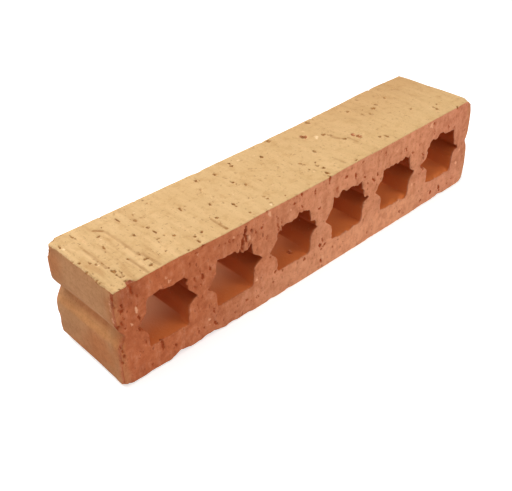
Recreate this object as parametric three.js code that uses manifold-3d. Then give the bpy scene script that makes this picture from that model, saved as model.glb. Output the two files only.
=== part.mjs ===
// Splittable facing brick of fired clay, in millimetres, +Z up.
//
// The clay comes out of the die along Y and a wire cuts it at both ends of that way, so the section in
// X and Z is the same from the front face (-Y) to the back face (+Y). A row of cores runs through it.
// Every core has a V notch in each side wall, and each end of the brick has a V groove, all at one
// height: there the fired brick splits into an upper and a lower slip. The cutting wire leaves the clay
// at the lower long edges and breaks pieces out of them.
//
// The origin is at the middle of the underside. The near end is at -X.

import * as THREE from 'three';
import { mergeVertices } from 'three/addons/utils/BufferGeometryUtils.js';
import Module from 'manifold-3d';

// Overall size of the fired brick
const LENGTH = 250;
const DEPTH = 50;
const HEIGHT = 53.5;

// Clay round the cores: the cores take what these walls leave
const CORE_COUNT = 6;
const END_WALL = 15.4;
const WEB = 16;
const TOP_WALL = 12;
const BOTTOM_WALL = 14.5;

// A core: its side walls lean inwards above the notch, and its corners are rounded
const CORE_LEAN = 0.7;
const CORE_TOP_CORNER_RADIUS = 2.4;
const CORE_BOTTOM_CORNER_RADIUS = 1.3;

// V notch in a core's side wall
const NOTCH_DEPTH = 5.2;
const NOTCH_DROP = 5;
const NOTCH_RISE = 6;
const NOTCH_TIP_RADIUS = 0.5;
const NOTCH_LOWER_SHOULDER_RADIUS = 4;
const NOTCH_UPPER_SHOULDER_RADIUS = 2.2;

// V groove across each end of the brick, and the swell of the end above and below it
const GROOVE_DEPTH = 3.8;
const GROOVE_HALF_HEIGHT = 7;
const GROOVE_ROOT_RADIUS = 1.8;
const GROOVE_SHOULDER_RADIUS = 6;
const END_SWELL = 0.7;
const END_SWELL_RADIUS = 40;

// Outer long corners of the section
const NEAR_TOP_RADIUS = 1.2;
const FAR_TOP_RADIUS = 3.6;
const NEAR_BOTTOM_RADIUS = 2.5;
const FAR_BOTTOM_RADIUS = 5;

// Pieces broken out of the long edges: distance of the middle from the near end, and how far the
// break reaches along the edge to either side, into the cut face's depth, and up or down the face
const FRONT_LOWER_BREAKS = [
  { at: 18, along: 7, inward: 3.5, across: 1 },
  { at: 34, along: 8, inward: 5, across: 3.4 },
  { at: 49, along: 8, inward: 4.5, across: 2.8 },
  { at: 92, along: 6, inward: 3, across: 1.1 },
  { at: 209, along: 9, inward: 3, across: 1 },
  { at: 228, along: 5, inward: 4, across: 1.7 },
];
const FRONT_UPPER_BREAKS = [
  { at: 11, along: 4.2, inward: 4, across: 2.6 },
];
const BACK_UPPER_BREAKS = [
  { at: 0.2, along: 5.5, inward: 4.2, across: 10 },
];
const BACK_LOWER_BREAKS = [
  { at: 27, along: 9, inward: 4, across: 1.8 },
  { at: 71, along: 6, inward: 3, across: 1.2 },
  { at: 118, along: 10, inward: 4.5, across: 2.6 },
  { at: 176, along: 7, inward: 3.5, across: 1.4 },
  { at: 221, along: 8, inward: 4.5, across: 2.3 },
];

// Steps of the round stretches
const ARC_STEP_ANGLE = Math.PI / 14;
const BREAK_SEGMENTS = 14;
const BREAK_RINGS = 10;

// Worked out from the above
const coreHeight = HEIGHT - TOP_WALL - BOTTOM_WALL;
const coreWidth = (LENGTH - 2 * END_WALL - (CORE_COUNT - 1) * WEB) / CORE_COUNT;
const corePitch = coreWidth + WEB;
const splitHeight = BOTTOM_WALL + coreHeight / 2;

// A closed outline with a fillet at every corner. A fillet is shortened where its edges are too short.
// Corners are { x, z, radius } and run anticlockwise.
function filletedOutline(corners, path) {
  corners.forEach((corner, index) => {
    const here = new THREE.Vector2(corner.x, corner.z);
    const last = corners[(index + corners.length - 1) % corners.length];
    const next = corners[(index + 1) % corners.length];
    const back = new THREE.Vector2(last.x, last.z).sub(here);
    const on = new THREE.Vector2(next.x, next.z).sub(here);
    const room = Math.min(back.length(), on.length()) / 2;
    const halfAngle = back.angleTo(on) / 2;
    const reach = Math.min(corner.radius / Math.tan(halfAngle), room);
    const radius = reach * Math.tan(halfAngle);
    const turn = Math.sign(on.cross(back));
    const start = here.clone().addScaledVector(back.normalize(), reach);
    const inward = back.add(on.normalize()).normalize();
    const middle = here.clone().addScaledVector(inward, radius / Math.sin(halfAngle));
    const startAngle = Math.atan2(start.y - middle.y, start.x - middle.x);
    const sweep = turn * (Math.PI - 2 * halfAngle);
    const steps = Math.max(1, Math.ceil(Math.abs(sweep) / ARC_STEP_ANGLE));
    for (let step = 0; step <= steps; step += 1) {
      const angle = startAngle + (sweep * step) / steps;
      const x = middle.x + radius * Math.cos(angle);
      const z = middle.y + radius * Math.sin(angle);
      if (index === 0 && step === 0) {
        path.moveTo(x, z);
      } else {
        path.lineTo(x, z);
      }
    }
  });
  path.closePath();
  return path;
}

// Corners of one end of the brick, from its lower to its upper corner; side is +1 or -1.
// The middle third of each half stands proud, at the brick's full length.
function endCorners(side, bottomRadius, topRadius) {
  const face = side * LENGTH / 2;
  const corner = face - side * END_SWELL;
  const shoulder = face - side * END_SWELL / 2;
  const grooveBottom = splitHeight - GROOVE_HALF_HEIGHT;
  const grooveTop = splitHeight + GROOVE_HALF_HEIGHT;
  const upperThird = (HEIGHT - grooveTop) / 3;
  return [
    { x: corner, z: 0, radius: bottomRadius },
    { x: face, z: grooveBottom / 3, radius: END_SWELL_RADIUS },
    { x: face, z: (grooveBottom * 2) / 3, radius: END_SWELL_RADIUS },
    { x: shoulder, z: grooveBottom, radius: GROOVE_SHOULDER_RADIUS },
    { x: face - side * GROOVE_DEPTH, z: splitHeight, radius: GROOVE_ROOT_RADIUS },
    { x: shoulder, z: grooveTop, radius: GROOVE_SHOULDER_RADIUS },
    { x: face, z: grooveTop + upperThird, radius: END_SWELL_RADIUS },
    { x: face, z: HEIGHT - upperThird, radius: END_SWELL_RADIUS },
    { x: corner, z: HEIGHT, radius: topRadius },
  ];
}

// Corners of one side of a core, from its lower to its upper corner
function coreSideCorners(centre, side) {
  const wall = centre + side * coreWidth / 2;
  const leaned = wall - side * CORE_LEAN;
  return [
    { x: wall, z: BOTTOM_WALL, radius: CORE_BOTTOM_CORNER_RADIUS },
    { x: wall, z: splitHeight - NOTCH_DROP, radius: NOTCH_LOWER_SHOULDER_RADIUS },
    { x: wall + side * NOTCH_DEPTH, z: splitHeight, radius: NOTCH_TIP_RADIUS },
    { x: wall, z: splitHeight + NOTCH_RISE, radius: NOTCH_UPPER_SHOULDER_RADIUS },
    { x: leaned, z: HEIGHT - TOP_WALL, radius: CORE_TOP_CORNER_RADIUS },
  ];
}

function coreOutline(centre) {
  const right = coreSideCorners(centre, 1);
  const left = coreSideCorners(centre, -1);
  return filletedOutline([...right, ...left.reverse()], new THREE.Path());
}

function sectionShape() {
  const right = endCorners(1, FAR_BOTTOM_RADIUS, FAR_TOP_RADIUS);
  const left = endCorners(-1, NEAR_BOTTOM_RADIUS, NEAR_TOP_RADIUS);
  const shape = filletedOutline([...right, ...left.reverse()], new THREE.Shape());
  for (let index = 0; index < CORE_COUNT; index += 1) {
    shape.holes.push(coreOutline((index - (CORE_COUNT - 1) / 2) * corePitch));
  }
  return shape;
}

// The section pushed along Y from the back face to the front face
function extrudedBody() {
  const geometry = new THREE.ExtrudeGeometry(sectionShape(), { depth: DEPTH, bevelEnabled: false });
  geometry.rotateX(Math.PI / 2);
  geometry.translate(0, DEPTH / 2, 0);
  return geometry;
}

// The rounded piece that is missing from a long edge; face is -1 on the front and +1 on the back
function breakGeometry({ at, along, inward, across }, face, edgeHeight) {
  const geometry = new THREE.SphereGeometry(1, BREAK_SEGMENTS, BREAK_RINGS);
  geometry.rotateZ(at);
  geometry.scale(along, inward, across);
  geometry.translate(at - LENGTH / 2, face * DEPTH / 2, edgeHeight);
  return geometry;
}

function breakGeometries() {
  return [
    ...FRONT_LOWER_BREAKS.map((piece) => breakGeometry(piece, -1, 0)),
    ...FRONT_UPPER_BREAKS.map((piece) => breakGeometry(piece, -1, HEIGHT)),
    ...BACK_UPPER_BREAKS.map((piece) => breakGeometry(piece, 1, HEIGHT)),
    ...BACK_LOWER_BREAKS.map((piece) => breakGeometry(piece, 1, 0)),
  ];
}

const wasm = await Module();
wasm.setup();

function toSolid(geometry) {
  geometry.deleteAttribute('normal');
  geometry.deleteAttribute('uv');
  const merged = mergeVertices(geometry, 1e-4);
  const vertProperties = new Float32Array(merged.attributes.position.array);
  const triVerts = new Uint32Array(merged.index.array);
  return new wasm.Manifold(new wasm.Mesh({ numProp: 3, vertProperties, triVerts }));
}

function toGeometry(solid) {
  const mesh = solid.getMesh();
  const geometry = new THREE.BufferGeometry();
  geometry.setAttribute('position', new THREE.BufferAttribute(mesh.vertProperties, mesh.numProp));
  geometry.setIndex(new THREE.BufferAttribute(mesh.triVerts, 1));
  geometry.computeVertexNormals();
  return geometry;
}

function brickGeometry() {
  let solid = toSolid(extrudedBody());
  for (const piece of breakGeometries()) {
    solid = solid.subtract(toSolid(piece));
  }
  return toGeometry(solid);
}

const firedClay = new THREE.MeshStandardMaterial({ color: 0xbb7450, roughness: 0.92, metalness: 0 });

const brick = new THREE.Mesh(brickGeometry(), firedClay);
brick.name = 'brick';

const group = new THREE.Group();
group.add(brick);

export default group;
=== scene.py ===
"""Looks of a splittable facing brick of fired clay.

The die gives the red clay its section and smooth outer faces, with a thin buff engobe on them. A wire
going down cuts the front and back: it drags streaks across them, leaves burrs on the upper rims of the
cores and tears the lower long edges.

Lists are in millimetres. X runs along the brick, and the front cut face looks along -Y.
"""

import math
import random
from collections import namedtuple

import bmesh
import bpy
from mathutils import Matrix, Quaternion, Vector, noise
from mathutils.kdtree import KDTree


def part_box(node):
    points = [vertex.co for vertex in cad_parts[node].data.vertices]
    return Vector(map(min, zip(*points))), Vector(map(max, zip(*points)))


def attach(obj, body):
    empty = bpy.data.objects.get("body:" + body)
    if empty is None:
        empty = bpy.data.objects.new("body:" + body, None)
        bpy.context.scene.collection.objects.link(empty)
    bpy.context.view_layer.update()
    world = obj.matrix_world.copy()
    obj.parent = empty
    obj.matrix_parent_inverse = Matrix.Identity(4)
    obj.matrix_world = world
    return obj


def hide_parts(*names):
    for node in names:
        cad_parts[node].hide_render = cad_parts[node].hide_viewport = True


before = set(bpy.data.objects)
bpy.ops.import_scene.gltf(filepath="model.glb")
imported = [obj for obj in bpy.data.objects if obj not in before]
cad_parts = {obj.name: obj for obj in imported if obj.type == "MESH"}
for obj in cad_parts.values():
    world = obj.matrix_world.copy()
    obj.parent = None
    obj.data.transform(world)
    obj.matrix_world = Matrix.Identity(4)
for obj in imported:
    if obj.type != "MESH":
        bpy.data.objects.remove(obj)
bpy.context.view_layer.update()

MM = 0.001
LOW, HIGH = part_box("brick")
HALF_LENGTH = HIGH.x / MM
HALF_DEPTH = HIGH.y / MM
HEIGHT = HIGH.z / MM

# --- the section, as the part's source has it
CORE_CENTRES = [-98, -58.8, -19.6, 19.6, 58.8, 98]
CORE_HALF_WIDTH = 11.6
CORE_FLOOR = 14.5
CORE_ROOF = 41.5
SPLIT_HEIGHT = 28
NOTCH_DEPTH = 5.2
NOTCH_HALF_HEIGHT = 6
# The faces, grooves and corners of the ends lie in this band
END_BAND = 8

# Both ends have lifted by this much in the kiln
BOW = 0.85

# --- how finely the clay is divided
CELL = 1.25
RIM = 0.45
DEPTH_CUTS = [0.45, 1.2, 2.4, 4.2, 7.5, 13, 20]
FACE_CELL = 1.5
UNDERSIDE_CELL = 4
FEATURE_CELL = 0.55
SCRATCH_CELL = 0.6
TORN_CELL = 0.7
BUSY_CUBE = 0.7
MOST_HALVINGS = 6

# --- the faces that marks are made on
# across is the way the marks' width runs, along the way their length runs, both before they lean
Face = namedtuple("Face", "origin across along out")
X, Y, Z = Vector((1, 0, 0)), Vector((0, 1, 0)), Vector((0, 0, 1))
TOP = Face(Z * (HEIGHT + BOW), X, Y, Z)
UNDERSIDE = Face(Z * 0, X, Y, -Z)
FRONT = Face(Z * BOW - Y * HALF_DEPTH, X, Z, -Y)
BACK = Face(Z * BOW + Y * HALF_DEPTH, X, Z, Y)
NEAR_END = Face(Z * BOW - X * HALF_LENGTH, Y, Z, -X)
FAR_END = Face(Z * BOW + X * HALF_LENGTH, Y, Z, X)
CORE_BED = Face(Z * CORE_FLOOR, X, Y, Z)

# --- marks on the buff face
# A mark is a hollow: its middle (across, along), length, width, how dark it is, and its lean in degrees
Mark = namedtuple("Mark", "across along length width dark lean", defaults=(0,))

TOP_PITS = [Mark(*row) for row in [
    (-122.3, 17.2, 4.6, 1.4, 1, -14), (-114.2, 20.1, 2.6, 1.6, 1), (-113.8, 17.7, 3.4, 1.2, 0.5),
    (-111.4, 17.8, 2.2, 1.2, 0.25), (-105.8, 12.2, 1.8, 2, 0.75), (-108.7, 3.5, 3.2, 1.4, 0.9, -14),
    (-107.8, 1.4, 2, 1.1, 0.4), (-110.1, -0.2, 1.5, 1.4, 0.45), (-122.8, 1.3, 1.8, 1.7, 1, -30),
    (-118.1, -4.6, 1.7, 1.8, 0.85), (-116.5, -3.3, 1.6, 1.2, 0.5), (-115.7, -10.1, 1.6, 1.4, 0.75),
    (-119.2, -15, 1.6, 1.2, 0.4), (-121.4, -20.5, 2.6, 1.4, 0.45), (-111.7, -10.6, 1.7, 1.3, 0.35),
    (-106.2, -10.6, 1.8, 1.7, 0.85), (-101.6, -20.9, 1.9, 1.9, 0.95), (-107.2, -21.1, 2.4, 1.3, 0.4),
    (-100.3, -15.9, 1.5, 2.9, 0.95), (-101.3, -16.6, 4.5, 1.6, 0.3), (-100.6, -10.7, 2.4, 1.6, 0.55),
    (-93.7, 1.8, 2.8, 1.5, 0.9, -10), (-93.2, 7.5, 2.4, 1.2, 0.3), (-94.9, -12.6, 5.4, 1.1, 0.4, -14),
    (-91.7, 17.1, 5, 1.3, 0.65), (-86, 11.3, 2.6, 1.7, 0.85), (-84.1, 15.7, 4, 1.2, 0.5, -14),
    (-85.4, 2.7, 2.8, 1.8, 0.75), (-86.7, 4.3, 2.4, 1.8, 0.4), (-85.3, -2.5, 4, 1.8, 0.75),
    (-87.7, -7.8, 2.4, 2, 0.65, -30), (-88.6, -10, 2.2, 1.8, 0.5), (-83.9, -7.7, 2.2, 1.3, 0.5),
    (-81, -10.4, 2.2, 1.7, 0.8), (-104.4, -2.2, 2.6, 1.2, 0.35), (-105.7, 7.4, 2.4, 1.1, 0.4, -20),
    (-96, 24.5, 2, 1.6, 0.6), (-83.6, -23.8, 1.4, 2, 0.6), (-121.6, 23.7, 3.2, 1.5, 0.7, -45),
    (-75, -17.7, 1.8, 2, 0.9, -20), (-70.4, -16.9, 3, 1.7, 0.9, -25), (-76.1, -21.6, 3.6, 1.5, 0.8),
    (-72.3, -20, 2, 1.2, 0.35, -30), (-73.8, 19.3, 1.8, 2.6, 0.5), (-73.3, 22.9, 2.8, 1.6, 0.4, -20),
    (-76.5, 24.7, 2.4, 1.8, 0.5), (-66.4, 22.9, 2, 2, 0.25), (-68, 13.4, 4, 1.6, 0.22),
    (-62.8, 14.9, 3.2, 1.4, 0.2), (-65.4, 4.1, 5.4, 1.7, 0.85, -8), (-62.4, 4.6, 2.4, 2, 0.35),
    (-43.6, 18.7, 3.2, 2, 0.75, -20), (-42.4, 17.8, 2.2, 1.4, 0.4), (-33.1, 16.9, 2.6, 2.4, 0.75),
    (-47.6, 11.1, 3, 1.7, 0.55, -25), (-49.5, 7.9, 3, 1.3, 0.25), (-31.8, 5.2, 3.2, 2.3, 0.8, -20),
    (-31.6, 2, 4, 1.9, 0.4), (-28.8, -0.9, 2.7, 1.9, 0.85, -25), (-49.3, 1.7, 1.6, 1.5, 0.45),
    (-47.2, 1.6, 2, 1.5, 0.5), (-49.1, -0.5, 1.5, 1.5, 0.35), (-52.7, -2.2, 2.4, 1.9, 0.95, -20),
    (-47.3, -5.5, 2.4, 1.4, 0.35, -25), (-64.6, -6.5, 1.9, 1.9, 0.35), (-67, -6.3, 1.8, 1.6, 0.25),
    (-71.5, -10.7, 1.7, 1.7, 0.35), (-42.2, 6.6, 5, 1.4, 0.2), (-58.1, -13, 2.2, 2.8, 0.9, -30),
    (-58.9, -16.2, 2.2, 1.5, 0.3), (-45, -9.8, 2.6, 1.6, 1), (-45.1, -11.8, 2, 1.5, 0.8, -14),
    (-42.2, -10.6, 2.2, 1.4, 0.4, -40), (-49.7, -13.1, 2, 1.8, 0.25), (-36.2, -10.9, 2.4, 1.4, 0.6, -50),
    (-34.8, -12.1, 2.2, 1.2, 0.45, -45), (-30.2, -14.9, 1.8, 1.9, 0.6), (-29.9, -17.4, 2, 2.3, 0.85),
    (-44, -20.5, 2, 1.9, 0.7), (-44.5, -22.5, 1.8, 1.4, 0.35), (-32.1, -21.2, 1.5, 1.9, 0.4),
    (-21.6, 17.4, 2.8, 2, 1, -10), (-20.7, 19.8, 2.4, 1.8, 0.9, -14), (-18, 21.5, 1.8, 1.7, 0.35),
    (-4.5, 13.6, 3.2, 2, 0.85, -35), (-7, 11.1, 1.8, 1.6, 0.45), (-10, 7.9, 2.2, 1.4, 0.35, -25),
    (9.7, 23.1, 4.2, 2.8, 0.75, -10), (16.5, 18.5, 6, 2.2, 0.18), (8.1, 4.9, 2.2, 3.2, 0.4),
    (-21.1, -2.8, 6, 1.5, 0.33), (-16.4, -1.6, 3, 1.6, 0.22), (-5.5, 0.3, 1.4, 1.8, 0.35),
    (1.2, -3, 2.6, 1.5, 0.5, -20), (4.5, -5.2, 2.2, 2.3, 0.65), (4.8, -7.7, 2.4, 2.2, 0.5),
    (-11.5, -7, 1.8, 1.9, 0.45), (3.5, -12.7, 2.5, 1.4, 0.85, -50), (10.7, -9.8, 2.4, 1.8, 0.7, -45),
    (8.9, -12.8, 3.2, 1.9, 0.6, -10), (9.3, -16.5, 2.7, 2.4, 1), (6.1, -18.7, 1.6, 1.4, 0.5),
    (7.1, -21.5, 3.6, 2.3, 1), (-17.2, -16.2, 4.2, 1.7, 0.33, -15), (-22.1, -21.1, 2.2, 1.5, 0.7, -25),
    (-7.3, -22.2, 2.6, 2.4, 0.45), (13.6, -22.3, 1.8, 4.4, 0.3), (18.7, -1.6, 2.7, 2.4, 0.75, -20),
    (19.7, -11.9, 3.4, 1.5, 0.33, -40), (-1.9, -11.9, 2.2, 2, 0.25), (39.1, 22.8, 4, 3.4, 0.75, -20),
    (43.8, 23.9, 2.6, 2.4, 0.45), (50.6, 24.1, 2.2, 2, 0.35), (39.5, -4.3, 2.4, 2.4, 0.8),
    (32.5, -3.5, 2.2, 1.4, 0.35, -45), (39.3, 7.7, 3, 2, 0.35, -45), (64, 15.4, 2.8, 2.5, 0.7, -25),
    (66.8, 6.8, 3.6, 2.6, 0.55, -35), (70.7, 4.8, 4.6, 2.4, 0.5), (70.8, 11, 2.2, 1.9, 0.5, -30),
    (54, -16.1, 2.6, 1.9, 0.85, -25), (56.9, -18.1, 4, 2.1, 0.75), (65.5, -10.9, 2.4, 1.6, 0.35, -35),
    (61, -3.7, 2.6, 1.4, 0.3, -30), (76.7, 7.8, 3.4, 2.7, 0.9, -40), (81.4, 9.6, 3, 2.4, 0.5, -30),
    (78.5, 21.2, 2.8, 2.6, 0.5), (91.5, 11.7, 3.4, 2, 0.65, -50), (104.5, 16.2, 3, 2, 0.35, -30),
    (90.5, -7.8, 3.6, 2.6, 0.55, -12), (82.9, -12.9, 4, 2.2, 0.3), (86.9, -21.7, 3.2, 2.2, 0.35),
    (101, -15.4, 2.8, 1.6, 0.7, -45), (100.9, -18.1, 2.6, 2.5, 0.95, -20),
    (105.4, -14.4, 3.4, 1.8, 0.6, -35), (114.7, -9.4, 4.2, 1.9, 0.35), (116.7, 4.4, 6, 1.8, 0.3),
    (110.7, -24.6, 3.2, 1.8, 0.9, -50), (95.1, 3.6, 3, 2.4, 0.25), (26.3, -23.7, 1.6, 2.2, 0.8),
    (31, -22.2, 2.2, 1.8, 0.3), (-124, -6.2, 2.4, 1.5, 0.7), (-124.4, -9.8, 1.8, 1.2, 0.6),
    (-124.1, -13.4, 2.6, 1.6, 0.7), (-123.7, -15.8, 1.6, 1.4, 0.5), (-123, -9, 1.2, 1.4, 0.4),
    (-115.4, -13.4, 3.2, 2.4, 0.9), (-115.8, -17.1, 4.6, 1.4, 0.6, 4), (-113.8, -16, 5, 1.4, 0.6, -4),
    (-114.7, -18.9, 1.6, 2.8, 0.6), (35.2, 7.2, 3.8, 3, 0.7, -20), (36.8, 3.9, 4.4, 2.2, 0.55, 12),
    (46.5, -9.4, 2, 3, 0.6), (-124.3, 9.6, 2.2, 1.3, 0.5), (-124.2, 4.4, 2.4, 1.2, 0.45),
    (-124.4, -2.2, 2.6, 1.2, 0.6), (-124.5, -18.6, 2, 1.2, 0.5), (-124.4, 20.2, 2, 1.2, 0.5),
    (-115.3, -21.6, 1.2, 3, 0.8), (-117.6, -22.6, 2, 1.3, 0.6, -35),
]]
# Chips that show the red clay under the engobe
TOP_CHIPS = [Mark(25.9, 13.1, 4.2, 4.2, 1), Mark(45.7, -4.5, 3.2, 2.7, 0.9), Mark(46.4, -7.3, 4, 3.2, 1)]
# A scratch goes from point to point
Scratch = namedtuple("Scratch", "points width dark")
TOP_SCRATCHES = [Scratch(*row) for row in [
    ([(-104.6, 17.4), (-103.4, 16.4), (-101.9, 14.5)], 2.2, 0.85),
    ([(-101.9, 14.5), (-101.2, 12.3), (-100.9, 7.8), (-101.1, -8.2), (-100.8, -12.1)], 2.1, 0.45),
    ([(-99.5, -12.1), (-99, -23.4)], 2, 0.5), ([(-116.1, 7.7), (-116, -0.3), (-116.4, -9.3)], 2, 0.5),
    ([(-105.8, -11.2), (-105.6, -24.1)], 1.9, 0.6), ([(-60.6, -12), (-60.6, -18.7)], 1.8, 0.55),
    ([(-60.6, -17.7), (-60.4, -22.3)], 1.9, 0.8), ([(36.9, 1.9), (37, -0.5), (38.7, -3.4)], 2.6, 0.5),
    ([(19.9, -15), (20.1, -21.1)], 2, 0.35), ([(41.7, -4.8), (41.5, -11.2)], 1.9, 0.42),
]]
TOP_PALE_SPECKS = [Mark(*row) for row in [
    (-122, 14.2, 2.4, 1.7, 0.8), (-107, -22.9, 1.8, 1.5, 0.4), (-117.9, -5.9, 1.4, 2.2, 0.5),
    (-105.9, 9.9, 2.2, 1.5, 0.35), (-82.9, 16.8, 2.4, 1.4, 0.4, -30), (-15.5, 19.1, 2.4, 2.6, 0.45),
    (-6.6, 17, 3.2, 1.8, 0.45, -20), (-39.2, -3, 2.6, 1.5, 0.4, -20), (-32.9, -22.5, 3.2, 1.6, 0.9, -30),
    (29.8, 17.1, 3, 1.6, 0.5), (30.5, 7.9, 5, 2.8, 0.65, -40), (28, -7.5, 2.8, 1.8, 0.35, -40),
    (50.2, -7.5, 2.8, 2, 0.4, -20), (-20, -10.4, 2.2, 1.4, 0.3, -45), (3.7, -16, 2.4, 2.4, 0.3),
    (1.3, 8.1, 2.2, 2, 0.3), (-29.7, -6.8, 2, 1.6, 0.2),
]]

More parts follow.
